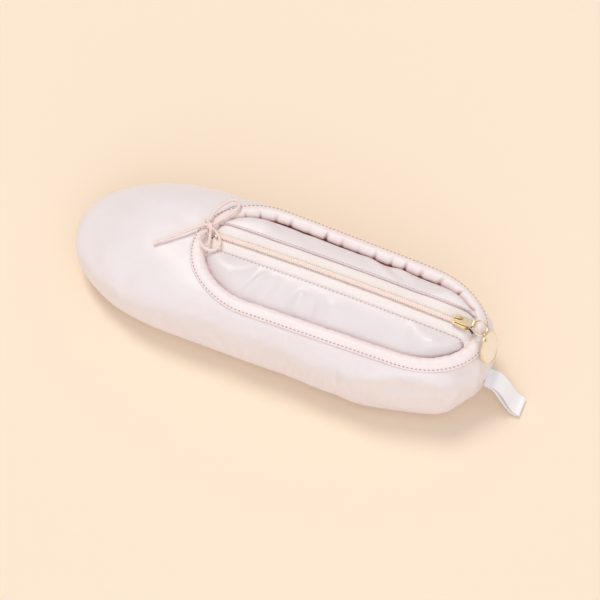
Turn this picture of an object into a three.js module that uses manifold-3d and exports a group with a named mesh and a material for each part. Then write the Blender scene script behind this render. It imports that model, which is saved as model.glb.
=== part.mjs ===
// A satin zip pouch in the shape of a ballet slipper, lying on its sole.
// Millimetres, +Z up. +X runs from the toe to the heel, the origin is on the sole's resting face.
import * as THREE from "three";
import { mergeVertices } from "three/addons/utils/BufferGeometryUtils.js";
import Module from "manifold-3d";

const wasm = await Module();
wasm.setup();

// Clearance between pieces that touch on the real object.
const gap = 0.3;

// The body's outline at its widest level.
const bodyToeX = -125;
const bodyHeelX = 126;
const toeRound = 68;
const heelRound = 56;
const toeHalfWidth = 44.6;
const heelHalfWidth = 42;
const widestHeight = 17;

// The sole's outline is the body's, drawn in by these amounts.
const soleInset = 8;
const soleEdgeHeight = 2.4;
const soleThickness = 1.6;
const solePadThickness = 3;
const soleLiningThickness = 0.6;

// The throat: the edge of the upper's layers around the opening.
const throatToeX = -47;
const throatHeelX = bodyHeelX - 10;
const throatRound = 38;
const throatToeHalf = 31;
const throatHeelHalf = 28.5;
const throatMidY = 2;
const throatHeight = 46.5;

// The upper's layers, from the outside in.
const satinThickness = 0.7;
const waddingThickness = 2.2;
const liningThickness = 0.6;
const layerGap = 0.5;

// The binding folded round the throat edge, with the drawstring in its fold.
const cordDiameter = 1.7;
const bindingThickness = 0.8;
const bindingLap = 3.4;
const bindingChannel = 2.7;
const eyeletLength = 8;

// The zip and the panels that hold it.
const zipY = 4.2;
const zipMidX = (throatToeX + throatHeelX) / 2;
const zipRadius = 1100;
const zipTopHeight = throatHeight + 7.1;
const zipOpeningHalf = 9;
const panelThickness = 0.8;
const tapeThickness = 0.5;
const tapeTuck = 3;
const tapeLeast = 1.2;
const coilWidth = 1.9;
const coilHeight = 1.6;

// The slider, its pull and the charm.
const sliderX = throatHeelX - 12.2;
const sliderLength = 8.6;
const sliderWidth = 7.2;
const sliderPlate = 1;
const pullLength = 9.4;
const pullWidth = 4.2;
const pullThickness = 1.8;
const pullPin = 1.6;
const ringRadius = 4.1;
const ringWire = 0.9;
const ringDroop = 16;
const linkRadius = 2.2;
const linkSide = 38;
const linkWire = 0.7;
const charmDiameter = 18;
const charmThickness = 1.1;
const charmHole = 2.4;
const charmLean = 25;
const charmTwist = 36;

// The ribbon loop at the heel.
const ribbonWidth = 12;
const ribbonThickness = 0.5;
const ribbonMidY = -4;
const ribbonRootHeight = 20;

const arcSteps = 16;
const sideSteps = 8;
const turn = Math.PI / 180;
const yAxis = new THREE.Vector3(0, 1, 0);
const zAxis = new THREE.Vector3(0, 0, 1);

const group = new THREE.Group();

const satin = { color: 0xecdfdc, roughness: 0.45, metalness: 0 };
const lining = { color: 0xf1e6df, roughness: 0.7, metalness: 0 };
const wadding = { color: 0xf4f1ec, roughness: 0.95, metalness: 0 };
const peach = { color: 0xf6dccf, roughness: 0.55, metalness: 0 };
const gold = { color: 0xe3bd78, roughness: 0.25, metalness: 1 };

// Add one named piece to an object of the scene graph.
function add(name, geometry, look, parent = group) {
  const mesh = new THREE.Mesh(geometry, new THREE.MeshStandardMaterial(look));
  mesh.name = name;
  parent.add(mesh);
  return mesh;
}

// All outlines share their stations: straight sides between these two, evenly spaced ends.
const sideHeelX = Math.min(bodyHeelX - heelRound, throatHeelX - throatRound);
const sideToeX = Math.max(bodyToeX + toeRound, throatToeX + throatRound);

// A closed outline with elliptical ends and straight tapered sides, from the heel's near side
// round the heel, along the far side, round the toe and back.
function outline({ toeX, heelX, toeArc, heelArc, toeHalf, heelHalf, midY = 0 }) {
  const heelCentre = heelX - heelArc;
  const toeCentre = toeX + toeArc;
  const halfAt = (x) => {
    const t = THREE.MathUtils.clamp((x - heelCentre) / (toeCentre - heelCentre), 0, 1);
    return THREE.MathUtils.lerp(heelHalf, toeHalf, t);
  };
  const end = (side, sideX, centre, arc, half, from) => {
    const path = new THREE.Path();
    path.moveTo(sideX, midY + side * halfAt(sideX));
    if (centre !== sideX) path.lineTo(centre, midY + side * half);
    path.absellipse(centre, midY, arc, half, from, from + Math.PI);
    if (centre !== sideX) path.lineTo(sideX, midY - side * halfAt(sideX));
    return path.getSpacedPoints(arcSteps).slice(0, -1);
  };
  const straight = (side, fromX, toX) =>
    Array.from({ length: sideSteps }, (_, i) => {
      const x = THREE.MathUtils.lerp(fromX, toX, i / sideSteps);
      return new THREE.Vector2(x, midY + side * halfAt(x));
    });
  return [
    ...end(-1, sideHeelX, heelCentre, heelArc, heelHalf, -Math.PI / 2),
    ...straight(1, sideHeelX, sideToeX),
    ...end(1, sideToeX, toeCentre, toeArc, toeHalf, Math.PI / 2),
    ...straight(-1, sideToeX, sideHeelX),
  ];
}

// The body's widest outline, drawn in by an inset.
function bodyOutline(inset) {
  return outline({
    toeX: bodyToeX + inset,
    heelX: bodyHeelX - inset,
    toeArc: toeRound - inset,
    heelArc: heelRound - inset,
    toeHalf: toeHalfWidth - inset,
    heelHalf: heelHalfWidth - inset,
  });
}

// The throat's outline, drawn in by an inset (a negative one goes outwards).
function throatOutline(inset) {
  return outline({
    toeX: throatToeX + inset,
    heelX: throatHeelX - inset,
    toeArc: throatRound - inset,
    heelArc: throatRound - inset,
    toeHalf: throatToeHalf - inset,
    heelHalf: throatHeelHalf - inset,
    midY: throatMidY,
  });
}

// The body's surface above and below its widest level, sunk inwards by a depth.
// Level 0 is the sole's edge, 1 is the widest outline and 2 is the throat's edge.
function bodySurface(depth) {
  const wide = bodyOutline(depth);
  const low = bodyOutline(soleInset + depth);
  const rim = throatOutline(0);
  const top = throatHeight - depth;
  return (index, level) => {
    if (level <= 1) {
      const angle = level * 90 * turn;
      const plan = low[index].clone().lerp(wide[index], Math.sin(angle));
      const z = soleEdgeHeight + (widestHeight - soleEdgeHeight) * (1 - Math.cos(angle));
      return new THREE.Vector3(plan.x, plan.y, z);
    }
    const angle = (level - 1) * 90 * turn;
    const plan = wide[index].clone().lerp(rim[index], 1 - Math.cos(angle));
    const z = widestHeight + (top - widestHeight) * Math.sin(angle);
    return new THREE.Vector3(plan.x, plan.y, z);
  };
}

const outlineCount = 2 * (arcSteps + sideSteps);
const wallLevels = [0, 0.35, 0.7, 1, 1.2, 1.4, 1.6, 1.75, 1.88, 2];

// A solid swept through sections of an even number of points. A closed sweep joins its last
// section to its first, an open one gets end caps.
function sweep(sections, closed) {
  const count = sections[0].length;
  const positions = sections.flat().flatMap((p) => [p.x, p.y, p.z]);
  const faces = [];
  const at = (section, point) => (section % sections.length) * count + (point % count);
  const quad = (a, b, c, d) => faces.push(a, b, c, a, c, d);
  const spans = closed ? sections.length : sections.length - 1;
  for (let s = 0; s < spans; s++) {
    for (let p = 0; p < count; p++) {
      quad(at(s, p), at(s, p + 1), at(s + 1, p + 1), at(s + 1, p));
    }
  }
  const last = sections.length - 1;
  for (let p = 0; !closed && p < count / 2 - 1; p++) {
    const q = count - 1 - p;
    quad(at(0, p), at(0, q), at(0, q - 1), at(0, p + 1));
    quad(at(last, p), at(last, p + 1), at(last, q - 1), at(last, q));
  }
  const geometry = new THREE.BufferGeometry();
  geometry.setAttribute("position", new THREE.Float32BufferAttribute(positions, 3));
  geometry.setIndex(signedVolume(positions, faces) < 0 ? faces.reverse() : faces);
  return geometry;
}

function signedVolume(positions, faces) {
  const corner = (i) => new THREE.Vector3().fromArray(positions, 3 * faces[i]);
  let volume = 0;
  for (let i = 0; i < faces.length; i += 3) {
    volume += corner(i).dot(corner(i + 1).cross(corner(i + 2))) / 6;
  }
  return volume;
}

// One layer of the upper, between two depths below the outer surface.
function layer(outerDepth, innerDepth) {
  const outer = bodySurface(outerDepth);
  const inner = bodySurface(innerDepth);
  const sections = [];
  for (let i = 0; i < outlineCount; i++) {
    const outside = wallLevels.map((level) => outer(i, level));
    const inside = wallLevels.map((level) => inner(i, level)).reverse();
    sections.push([...outside, ...inside]);
  }
  return sweep(sections, true);
}

const waddingDepth = satinThickness + layerGap;
const liningDepth = waddingDepth + waddingThickness + layerGap;
const upperDepth = liningDepth + liningThickness;

add("upper_satin", layer(0, satinThickness), satin);
add("upper_wadding", layer(waddingDepth, waddingDepth + waddingThickness), wadding);
add("upper_lining", layer(liningDepth, upperDepth), lining);

// A flat plate of the sole: an outline drawn in from the sole's edge, between two heights.
function solePlate(inset, bottom, thickness) {
  const shape = new THREE.Shape(bodyOutline(soleInset + inset));
  const geometry = new THREE.ExtrudeGeometry(shape, { depth: thickness, bevelEnabled: false });
  return geometry.translate(0, 0, bottom);
}

const padBottom = soleThickness + gap;
const soleLiningBottom = padBottom + solePadThickness + gap;

add("sole_outer", solePlate(0, 0, soleThickness), satin);
add("sole_pad", solePlate(upperDepth + gap, padBottom, solePadThickness), wadding);
add("sole_lining", solePlate(upperDepth + gap, soleLiningBottom, soleLiningThickness), lining);

// A point on the surface at a depth, at a distance along the surface from the throat's edge.
function lapPoint(index, distance, depth) {
  const rim = throatOutline(0)[index];
  const outwards = throatOutline(-1)[index].sub(rim).normalize();
  const reach = bodyOutline(depth)[index].sub(rim).dot(outwards);
  const drop = throatHeight - depth - widestHeight;
  const step = 0.2 * turn;
  let angle = 0;
  for (let length = 0; length < distance; angle += step) {
    length += step * Math.hypot(reach * Math.cos(angle), drop * Math.sin(angle));
  }
  return bodySurface(depth)(index, 2 - angle / (90 * turn));
}

// The binding is a U in section, open towards the outside, round the throat's edge.
const underLayers = -upperDepth - gap;
const foldInset = bindingChannel + bindingThickness;
const foldMiddle = underLayers / 2;

function bindingSection(index) {
  const corner = (inwards, height) => {
    const plan = throatOutline(inwards)[index];
    return new THREE.Vector3(plan.x, plan.y, throatHeight + height);
  };
  const lapCorners = (depth) => [bindingLap, bindingLap / 2].map((d) => lapPoint(index, d, depth));
  const channel = bindingChannel;
  const outside = [
    ...lapCorners(-gap - bindingThickness),
    corner(0.8, gap + bindingThickness + 0.1),
    corner(foldInset - 0.8, foldMiddle + 1.9),
    corner(foldInset, foldMiddle),
    corner(foldInset - 0.8, foldMiddle - 1.9),
    corner(0.8, underLayers - bindingThickness - 0.1),
    ...lapCorners(upperDepth + gap + bindingThickness).reverse(),
  ];
  const inside = [
    ...lapCorners(upperDepth + gap),
    corner(0.8, underLayers),
    corner(channel - 0.6, foldMiddle - 1.3),
    corner(channel, foldMiddle),
    corner(channel - 0.6, foldMiddle + 1.3),
    corner(0.8, gap),
    ...lapCorners(-gap).reverse(),
  ];
  return [...outside, ...inside];
}

const bindingSections = [];
for (let i = 0; i < outlineCount; i++) {
  bindingSections.push(bindingSection(i));
}

// A geometry as a solid for boolean work, and back.
function toSolid(geometry) {
  const bare = geometry.index ? geometry.toNonIndexed() : geometry.clone();
  bare.deleteAttribute("normal");
  bare.deleteAttribute("uv");
  const merged = mergeVertices(bare, 1e-4);
  const vertProperties = new Float32Array(merged.attributes.position.array);
  const triVerts = new Uint32Array(merged.index.array);
  return new wasm.Manifold(new wasm.Mesh({ numProp: 3, vertProperties, triVerts }));
}

function fromSolid(solid) {
  const mesh = solid.getMesh();
  const geometry = new THREE.BufferGeometry();
  geometry.setAttribute("position", new THREE.Float32BufferAttribute(mesh.vertProperties, 3));
  geometry.setIndex(Array.from(mesh.triVerts));
  return geometry;
}

// The bow's knot sits on the binding, over the eyelet that the drawstring's ends come up through.
const knotIndex = arcSteps + sideSteps + 7;
const knotPlan = throatOutline(0.6)[knotIndex];
const knotSize = new THREE.Vector3(5.4, 4.6, 3.6);
const bindingTop = throatHeight + gap + bindingThickness + 0.1;
const knotCentre = new THREE.Vector3(knotPlan.x, knotPlan.y, bindingTop + gap + knotSize.z / 2);

const channelMid = bindingChannel - gap - cordDiameter / 2;
const channelOutline = throatOutline(channelMid);
const eyeletPlan = channelOutline[knotIndex];
const eyeletAlong = channelOutline[knotIndex + 1].clone().sub(channelOutline[knotIndex - 1]);
const eyelet = new THREE.BoxGeometry(eyeletLength, cordDiameter + 1.2, 6);
eyelet.rotateZ(eyeletAlong.angle());
eyelet.translate(eyeletPlan.x, eyeletPlan.y, bindingTop);
add("throat_binding", fromSolid(toSolid(sweep(bindingSections, true)).subtract(toSolid(eyelet))), peach);

// A round cord through points, as an extruded polygon with a step every two diameters or so.
function cord(points, steps, closed = false, sides = 8) {
  const shape = new THREE.Shape();
  for (let i = 0; i < sides; i++) {
    const angle = (i / sides) * 2 * Math.PI;
    const x = (cordDiameter / 2) * Math.cos(angle);
    const y = (cordDiameter / 2) * Math.sin(angle);
    i ? shape.lineTo(x, y) : shape.moveTo(x, y);
  }
  shape.closePath();
  const path = new THREE.CatmullRomCurve3(points, closed, "centripetal");
  return new THREE.ExtrudeGeometry(shape, { steps, extrudePath: path, bevelEnabled: false });
}

// The drawstring runs in the binding's fold, and both its ends rise through the eyelet.
const channelHeight = throatHeight + foldMiddle;
const knotBottom = knotCentre.z - knotSize.z / 2;
const drawstringPoints = [];
for (let i = 1; i < outlineCount; i++) {
  const plan = channelOutline[(knotIndex + i) % outlineCount];
  drawstringPoints.push(new THREE.Vector3(plan.x, plan.y, channelHeight));
}
for (const neighbour of [knotIndex + 1, knotIndex - 1]) {
  const along = channelOutline[neighbour].clone().sub(eyeletPlan).normalize();
  const rise = [[3.2, channelHeight + 0.2], [1.5, channelHeight + 1.6], [1.05, knotBottom - 0.6]];
  for (const [distance, z] of rise) {
    const plan = eyeletPlan.clone().addScaledVector(along, distance);
    const point = new THREE.Vector3(plan.x, plan.y, z);
    neighbour > knotIndex ? drawstringPoints.unshift(point) : drawstringPoints.push(point);
  }
}
add("drawstring_cord", cord(drawstringPoints, 78), peach);

const knot = new THREE.SphereGeometry(0.5, 12, 8);
knot.scale(knotSize.x, knotSize.y, knotSize.z).translate(knotCentre.x, knotCentre.y, knotCentre.z);
add("bow_knot", knot, peach);

// The bow's loops and tails, each a route of hand-chosen points measured from the knot's centre.
const bowRoutes = {
  bow_loop_near: [
    [-0.2, -3.4, 0], [-1.2, -6.2, 0.5], [-1.4, -9.4, 1.4], [-0.2, -12.4, 2.2], [2.4, -14.9, 2.8],
    [5.8, -16.2, 3.2], [9, -15.7, 3.5], [10.9, -13.5, 3.8], [10.9, -10.4, 4.1], [9.2, -7.2, 4.2],
    [6.4, -4.4, 3.9], [3.9, -2.3, 1.2],
  ],
  bow_loop_far: [
    [-1.4, 3.1, 0], [-1.6, 6.2, 0.2], [-0.6, 9.8, 0.5], [1, 13.6, 0.6], [3, 17.6, 0.5],
    [5.2, 21, 0.2], [7.2, 22.2, 0], [8.6, 20.6, 0.1], [8.4, 17.2, 0.4], [7.1, 13.4, 0.6],
    [5.5, 9.8, 0.5], [3.9, 6.4, 0.3], [2.3, 3.4, 0],
  ],
  bow_tail_long: [
    [-3.4, -0.6, 0], [-6, -2.6, -0.6], [-9.1, -5.6, -1], [-12.1, -8.9, -1.2], [-15.4, -11.9, -1.5],
    [-18.6, -15.2, -2], [-22.2, -18.2, -2.7], [-25.4, -20.9, -3.6],
  ],
  bow_tail_short: [
    [1.9, -3.2, 0.4], [2.7, -5.4, 1.2], [3.6, -7.6, 1.8], [4.4, -9.8, 2], [4.6, -12.2, 1.9],
    [3.6, -13.5, 1.7],
  ],
};
for (const [name, route] of Object.entries(bowRoutes)) {
  const points = route.map((p) => new THREE.Vector3(...p).add(knotCentre));
  add(name, cord(points, 2 * route.length), peach);
}

// The crease where the panels leave the binding, and the crowned surface inside it.
const creaseInset = foldInset + 2 * gap;
const creaseHeight = throatHeight + foldMiddle;
const crease = {
  toeX: throatToeX + creaseInset,
  heelX: throatHeelX - creaseInset,
  arc: throatRound - creaseInset,
  toeHalf: throatToeHalf - creaseInset,
  heelHalf: throatHeelHalf - creaseInset,
};

// How far x has gone into the crease's rounded ends, from 0 to 1.
function endShare(x) {
  const intoToe = (crease.toeX + crease.arc - x) / crease.arc;
  const intoHeel = (x - crease.heelX + crease.arc) / crease.arc;
  return Math.max(0, intoToe, intoHeel);
}

function sideHalf(x) {
  const t = (x - crease.toeX - crease.arc) / (crease.heelX - crease.toeX - 2 * crease.arc);
  return THREE.MathUtils.lerp(crease.toeHalf, crease.heelHalf, THREE.MathUtils.clamp(t, 0, 1));
}

function creaseHalf(x) {
  const share = endShare(x);
  return sideHalf(x) * Math.sqrt(Math.max(0, 1 - share * share));
}

// The zip's own line is an arc of a large circle in the X-Z plane.
function zipHeight(x) {
  return zipTopHeight - zipRadius + Math.sqrt(zipRadius ** 2 - (x - zipMidX) ** 2);
}

// The panels' crowned surface: level beside the zip, falling evenly to the crease at both sides
// and late and steeply at both ends.
const levelBesideZip = 2;
const sidePower = 1.15;
const endPower = 12;
function panelHeight(x, y) {
  const along = endShare(x) ** 2;
  const across = ((y - throatMidY) / sideHalf(x)) ** 2;
  const pastLevel = (Math.abs(y - zipY) - levelBesideZip) / sideHalf(x);
  const fromZip = THREE.MathUtils.clamp(pastLevel, 0, 1) ** 2;
  const spread = Math.min(1, along + Math.min(across, 1.25 * fromZip + 0.1 * across));
  const power = sidePower + endPower * (along / Math.max(1e-6, along + across));
  return creaseHeight + (zipHeight(x) - creaseHeight) * (1 - spread ** power);
}

// Stations along X, closer together at both ends.
function stations(from, to, count) {
  return Array.from({ length: count + 1 }, (_, i) => {
    const t = 0.5 - 0.5 * Math.cos((Math.PI * i) / count);
    return THREE.MathUtils.lerp(from, to, t);
  });
}

// A strip between two edges that are functions of x, following the panel's surface at a depth.
function strip({ from, to, count, inner, outer, steps, depth, thickness }) {
  return sweep(
    stations(from, to, count).map((x) => {
      const top = [];
      for (let j = 0; j <= steps; j++) {
        const y = THREE.MathUtils.lerp(inner(x), outer(x), j / steps);
        top.push(new THREE.Vector3(x, y, panelHeight(x, y) - depth));
      }
      const bottom = top.map((p) => p.clone().setZ(p.z - thickness)).reverse();
      return [...top, ...bottom];
    }),
    false,
  );
}

// The panels and the tapes have enough stations to keep clear of each other where the surface is
// steep, whatever the throat's length.
const stripStations = 32;
const tapeDepth = panelThickness + 1.5 * gap;
const tapeHeightBelowPanel = tapeDepth + tapeThickness / 2;

// Where the slider parts the two coils, each coil's inner edge swings out round the slider's post.
const postHalf = 0.7;
const postForward = 2.4;
const postX = sliderX + postForward;
function coilInner(x) {
  const t = THREE.MathUtils.smoothstep(x, sliderX - 1.5, postX - 0.8);
  return THREE.MathUtils.lerp(gap / 2, postHalf + gap, t);
}

const zipToeX = crease.toeX + 1.5;
const zipHeelX = crease.heelX - 1.2;
const coilToeX = zipToeX + 3.5;
const coilHeelX = zipHeelX - 2.6;

for (const [side, name] of [[-1, "near"], [1, "far"]]) {
  const foldY = zipY + side * zipOpeningHalf;
  const creaseY = (x) => throatMidY + side * creaseHalf(x);
  const reach = Math.abs(foldY - throatMidY) + 1.6;
  const middleToe = crease.toeX + crease.arc;
  const middleHeel = crease.heelX - crease.arc;
  const toeCut = crease.arc * Math.sqrt(1 - (reach / crease.toeHalf) ** 2);
  const heelCut = crease.arc * Math.sqrt(1 - (reach / crease.heelHalf) ** 2);
  const panel = strip({
    from: middleToe - toeCut,
    to: middleHeel + heelCut,
    count: stripStations,
    inner: () => foldY,
    outer: creaseY,
    steps: 5,
    depth: 0,
    thickness: panelThickness,
  });
  add(`zip_panel_${name}`, panel, satin);

  const tapeOuter = (x) => {
    const toCrease = creaseHalf(x) - side * (zipY - throatMidY);
    const reachOut = Math.min(zipOpeningHalf + tapeTuck, Math.max(tapeLeast, toCrease));
    return zipY + side * reachOut;
  };
  const tape = strip({
    from: zipToeX,
    to: zipHeelX,
    count: stripStations,
    inner: (x) => zipY + side * (coilInner(x) + 0.5),
    outer: tapeOuter,
    steps: 3,
    depth: tapeDepth,
    thickness: tapeThickness,
  });
  add(`zip_tape_${name}`, tape, satin);

  const coilBottom = -tapeDepth + gap;
  const coil = sweep(
    stations(coilToeX, coilHeelX, 26).map((x) => {
      const z = panelHeight(x, zipY) + coilBottom;
      const near = zipY + side * coilInner(x);
      const far = near + side * coilWidth;
      const bevel = side * 0.4;
      return [
        new THREE.Vector3(x, near, z + coilHeight * 0.3),
        new THREE.Vector3(x, near + bevel, z + coilHeight),
        new THREE.Vector3(x, far - bevel, z + coilHeight),
        new THREE.Vector3(x, far, z + coilHeight * 0.7),
        new THREE.Vector3(x, far, z),
        new THREE.Vector3(x, near, z),
      ];
    }),
    false,
  );
  add(`zip_coil_${name}`, coil, peach);

  const stopX = coilHeelX + gap + 0.7;
  const stop = new THREE.BoxGeometry(1.4, coilWidth, coilHeight);
  const stopY = zipY + side * (coilInner(stopX) + coilWidth / 2);
  const stopZ = panelHeight(stopX, zipY) + coilBottom + coilHeight / 2;
  stop.translate(stopX, stopY, stopZ + 0.15);
  add(`zip_top_stop_${name}`, stop, gold);
}

// The bottom stop clamps both tapes together at the toe end of the coils.
const bottomStop = new THREE.BoxGeometry(1.6, 2 * coilWidth, coilHeight);
const bottomStopX = coilToeX - gap - 0.8;
const bottomStopZ = panelHeight(bottomStopX, zipY) - tapeDepth + gap + coilHeight / 2;
bottomStop.translate(bottomStopX, zipY, bottomStopZ + 0.2);
add("zip_bottom_stop", bottomStop, gold);

// The slider stands on the zip's line. Its group's X runs along the zip towards the heel, and its
// Z = 0 is the middle of the tape.
const sliderGroup = new THREE.Group();
const sliderSlope = Math.asin((sliderX - zipMidX) / zipRadius);
sliderGroup.position.set(sliderX, zipY, panelHeight(sliderX, zipY) - tapeHeightBelowPanel);
sliderGroup.rotation.y = sliderSlope;
group.add(sliderGroup);

// An outline in X and Y as a plate from a bottom height upwards.
function plate(shape, bottom, thickness) {
  const geometry = new THREE.ExtrudeGeometry(shape, {
    depth: thickness,
    bevelEnabled: false,
    curveSegments: 5,
  });
  return geometry.translate(0, 0, bottom);
}

// A rounded rectangle centred on a point.
function roundedRectangle(length, width, radius, x = 0, y = 0) {
  const shape = new THREE.Shape();
  const left = x - length / 2;
  const right = x + length / 2;
  const low = y - width / 2;
  const high = y + width / 2;
  shape.moveTo(left + radius, low);
  shape.lineTo(right - radius, low);
  shape.absarc(right - radius, low + radius, radius, -Math.PI / 2, 0);
  shape.lineTo(right, high - radius);
  shape.absarc(right - radius, high - radius, radius, 0, Math.PI / 2);
  shape.lineTo(left + radius, high);
  shape.absarc(left + radius, high - radius, radius, Math.PI / 2, Math.PI);
  shape.lineTo(left, low + radius);
  shape.absarc(left + radius, low + radius, radius, Math.PI, 1.5 * Math.PI);
  return shape;
}

const lowerPlateTop = -tapeThickness / 2 - 2.4 * gap;
const coilTop = tapeThickness / 2 + gap + coilHeight;
const upperPlateBottom = coilTop + gap + 0.1;
const upperPlateTop = upperPlateBottom + sliderPlate;

// The crown on the upper plate is an arch that holds the pull's pin.
const pinClearance = 0.4;
const archWall = 0.9;
const archWidth = 1.3;
const archLength = pullPin + 2 * (pinClearance + archWall);
const archInner = pullPin + 2 * pinClearance;
const pinX = -2.2;
const pinZ = upperPlateTop + pinClearance + pullPin / 2 + 0.1;

function crownArch() {
  const base = upperPlateTop - 0.2;
  const top = pinZ + archInner / 2 + archWall;
  const height = top - base;
  const shape = roundedRectangle(archLength, height, 0.6, pinX, base + height / 2);
  shape.holes.push(roundedRectangle(archInner, archInner, 0.5, pinX, pinZ));
  const arch = plate(shape, -archWidth / 2, archWidth);
  return arch.rotateX(Math.PI / 2);
}

const sliderOutline = new THREE.Shape();
const sliderTail = sliderWidth * 0.38;
sliderOutline.moveTo(-sliderLength / 2, -sliderTail * 0.8);
sliderOutline.lineTo(-sliderLength / 2 + 1, -sliderTail);
sliderOutline.lineTo(sliderLength / 2 - 2.5, -sliderWidth / 2);
sliderOutline.lineTo(sliderLength / 2 - 0.8, -sliderWidth / 2);
sliderOutline.lineTo(sliderLength / 2, -sliderWidth / 2 + 1.2);
sliderOutline.lineTo(sliderLength / 2, sliderWidth / 2 - 1.2);
sliderOutline.lineTo(sliderLength / 2 - 0.8, sliderWidth / 2);
sliderOutline.lineTo(sliderLength / 2 - 2.5, sliderWidth / 2);
sliderOutline.lineTo(-sliderLength / 2 + 1, sliderTail);
sliderOutline.lineTo(-sliderLength / 2, sliderTail * 0.8);
sliderOutline.closePath();

const postLength = 1.6;
const postHeight = upperPlateBottom - lowerPlateTop + 0.8;
const post = new THREE.BoxGeometry(postLength, 2 * postHalf - 0.2, postHeight);
post.translate(postForward, 0, (upperPlateBottom + lowerPlateTop) / 2);
const sliderSolid = [
  plate(sliderOutline, upperPlateBottom, sliderPlate),
  plate(sliderOutline, lowerPlateTop - sliderPlate, sliderPlate),
  post,
  crownArch(),
]
  .map(toSolid)
  .reduce((whole, piece) => whole.add(piece));
add("slider_body", fromSolid(sliderSolid), gold, sliderGroup);

// A cylinder whose axis is Y.
function crossCylinder(diameter, length, x, z, sides = 20) {
  const cylinder = new THREE.CylinderGeometry(diameter / 2, diameter / 2, length, sides);
  return cylinder.translate(x, 0, z);
}

// The pull: a bar with a window and a pin at its toe end, and a rolled eye at its heel end.
const pullGroup = new THREE.Group();
pullGroup.position.set(pinX, 0, pinZ);
sliderGroup.add(pullGroup);
const windowWidth = archWidth + 2 * pinClearance;
const windowEnd = 0.71 * archLength + pinClearance;
const eyeHole = ringWire + 1.1;
const eyeDiameter = eyeHole + 1.4;
const eyeWidth = 3.2;
const bar = plate(
  roundedRectangle(pullLength + pullPin / 2, pullWidth, 0.7, (pullLength - pullPin / 2) / 2),
  -pullThickness / 2,
  pullThickness,
);
const windowLength = windowEnd + pullPin + 2;
const windowCut = new THREE.BoxGeometry(windowLength, windowWidth, 2 * pullThickness);
windowCut.translate(windowEnd - windowLength / 2, 0, 0);
const pullSolid = toSolid(bar)
  .subtract(toSolid(windowCut))
  .add(toSolid(crossCylinder(pullPin, pullWidth - 0.4, 0, 0)))
  .add(toSolid(crossCylinder(eyeDiameter, eyeWidth, pullLength, 0)))
  .subtract(toSolid(crossCylinder(eyeHole, 2 * pullWidth, pullLength, 0)));
add("pull_tab", fromSolid(pullSolid), gold, pullGroup);

// The jump ring droops over the heel from the pull's eye. Its group's X runs down the droop.
const ringGroup = new THREE.Group();
ringGroup.position.set(pullLength, 0, 0);
ringGroup.rotation.y = ringDroop * turn - sliderSlope;
pullGroup.add(ringGroup);
const ring = new THREE.TorusGeometry(ringRadius, ringWire / 2, 8, 28);
add("jump_ring", ring.translate(ringRadius, 0, 0), gold, ringGroup);

// The charm's link stands across the ring in a vertical plane, at a point on the ring's near side.
// Its group's X points outwards from the ring, and its Z is up.
const linkGroup = new THREE.Group();
const upright = new THREE.Quaternion().setFromAxisAngle(yAxis, -ringDroop * turn);
const sideways = new THREE.Quaternion().setFromAxisAngle(zAxis, -linkSide * turn);
linkGroup.position.set(
  ringRadius * (1 + Math.cos(linkSide * turn)),
  -ringRadius * Math.sin(linkSide * turn),
  0,
);
linkGroup.quaternion.copy(upright).multiply(sideways);
ringGroup.add(linkGroup);
const linkOffset = linkRadius - (linkWire + ringWire) / 2 - 0.2;
const linkCentre = new THREE.Vector3(linkOffset * Math.SQRT1_2, 0, -linkOffset * Math.SQRT1_2);
const link = new THREE.TorusGeometry(linkRadius, linkWire / 2, 8, 20);
link.rotateX(Math.PI / 2).translate(linkCentre.x, 0, linkCentre.z);
add("charm_link", link, gold, linkGroup);

// The charm hangs from the link and leans on the heel.
const charmGroup = new THREE.Group();
const hangAngle = 60 * turn;
charmGroup.position.set(
  linkCentre.x + linkRadius * Math.cos(hangAngle),
  0,
  linkCentre.z - linkRadius * Math.sin(hangAngle),
);
const twisted = new THREE.Quaternion().setFromAxisAngle(zAxis, charmTwist * turn);
const leaning = new THREE.Quaternion().setFromAxisAngle(yAxis, (90 - charmLean) * turn);
charmGroup.quaternion.copy(twisted).multiply(leaning);
linkGroup.add(charmGroup);
const charmDrop = charmDiameter / 2 - charmHole / 2 - 1.1;
const charmShape = new THREE.Shape().absarc(charmDrop, 0, charmDiameter / 2, 0, 2 * Math.PI);
charmShape.holes.push(new THREE.Path().absarc(0, 0, charmHole / 2, 0, 2 * Math.PI, true));
const charm = new THREE.ExtrudeGeometry(charmShape, {
  depth: charmThickness,
  bevelEnabled: false,
  curveSegments: 18,
});
add("charm_disc", charm.translate(0, 0, -charmThickness / 2), gold, charmGroup);

// The ribbon loop: two layers of one ribbon, folded at the far end and sewn in at the heel.
// Its outline in X and Z is an outer edge with a slot, extruded over the ribbon's width.
const ribbonRootX = bodyHeelX + gap + 0.9;
const ribbonUpper = [
  [0, 0], [4, -0.4], [8.4, -3.4], [12, -8.2], [15.2, -13.2], [18.6, -16.8], [20.8, -17.6],
];
const ribbonLower = [
  [21.6, -18.3], [20.6, -18.9], [17.6, -18.7], [13.8, -15.4], [10.2, -10.8], [6.8, -6], [3.6, -2.6],
  [0, -1.7],
];
const ribbonPath = new THREE.CatmullRomCurve3(
  [...ribbonUpper, ...ribbonLower].map(
    ([x, z]) => new THREE.Vector3(ribbonRootX + x, 0, ribbonRootHeight + z),
  ),
  false,
  "centripetal",
);
const ribbonSections = ribbonPath.getSpacedPoints(44).map((p, i, all) => {
  const before = all[Math.max(0, i - 1)];
  const after = all[Math.min(all.length - 1, i + 1)];
  const along = after.clone().sub(before).normalize();
  const across = new THREE.Vector3(-along.z, 0, along.x).multiplyScalar(ribbonThickness / 2);
  const side = new THREE.Vector3(0, ribbonWidth / 2, 0);
  const centre = p.clone().setY(ribbonMidY);
  return [
    centre.clone().add(across).sub(side),
    centre.clone().add(across).add(side),
    centre.clone().sub(across).add(side),
    centre.clone().sub(across).sub(side),
  ];
});
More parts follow.
